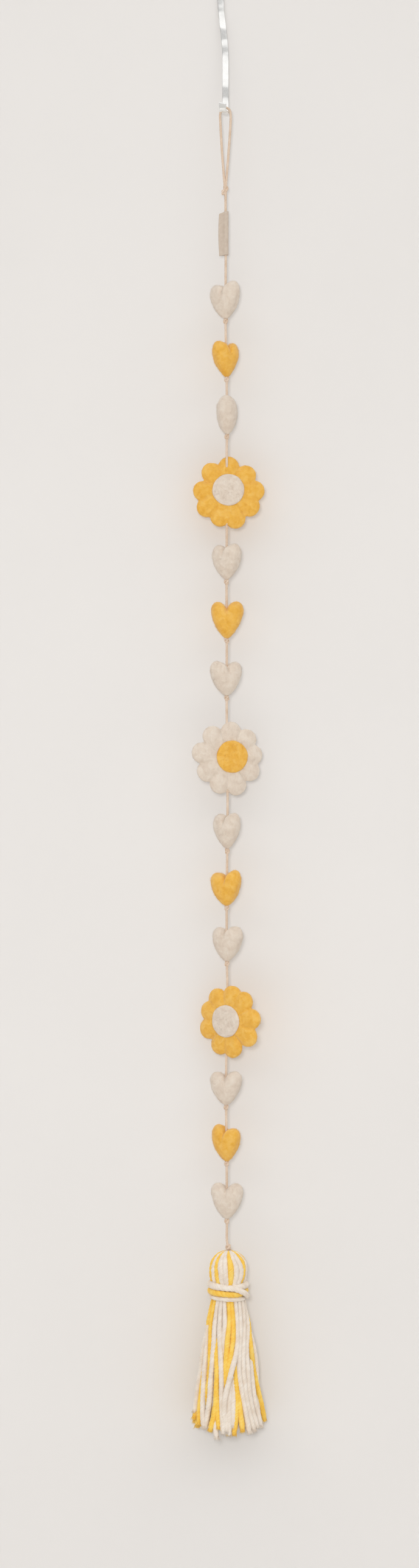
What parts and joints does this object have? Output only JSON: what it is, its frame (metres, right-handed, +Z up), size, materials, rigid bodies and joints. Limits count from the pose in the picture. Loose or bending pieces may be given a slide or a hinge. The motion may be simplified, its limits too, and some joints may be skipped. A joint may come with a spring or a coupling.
{
  "type": "felt heart garland on an over-door hook",
  "caption": "Felt hearts and flowers knotted along one waxed cord with a yarn tassel at its foot, hanging by its loop from a bent metal over-door hook.",
  "frame": {"origin": "middle of the saddle's flat underside, where the hook rests on the top of a door", "axes": "+Z up, with the garland hanging along -Z; the front, with the flowers' middles, faces -Y; +X to the viewer's right"},
  "size_m": [0.0624, 0.086, 1.147],
  "materials": {
    "hook_metal": "shiny hammered steel",
    "waxed_cord": "waxed cotton cord",
    "label_tape": "plain cotton tape",
    "cream_felt": "dense wool felt, slightly hairy",
    "yellow_felt": "dense wool felt, slightly hairy",
    "cream_yarn": "soft loosely spun yarn",
    "yellow_yarn": "soft loosely spun yarn"
  },
  "bodies": {
    "root": {"hook": "hook_metal", "cord": "waxed_cord", "label": "label_tape", "heart_01": "cream_felt", "heart_02": "yellow_felt", "heart_03": "cream_felt", "heart_04": "cream_felt", "heart_05": "yellow_felt", "heart_06": "cream_felt", "heart_07": "cream_felt", "heart_08": "yellow_felt", "heart_09": "cream_felt", "heart_10": "cream_felt", "heart_11": "yellow_felt", "heart_12": "cream_felt", "flower_1": "yellow_felt", "flower_1_middle": "cream_felt", "flower_2": "cream_felt", "flower_2_middle": "yellow_felt", "flower_3": "yellow_felt", "flower_3_middle": "cream_felt", "tassel": "cream_yarn", "binding_cream": "cream_yarn", "binding_yellow": "yellow_yarn"}
  },
  "joints": []
}
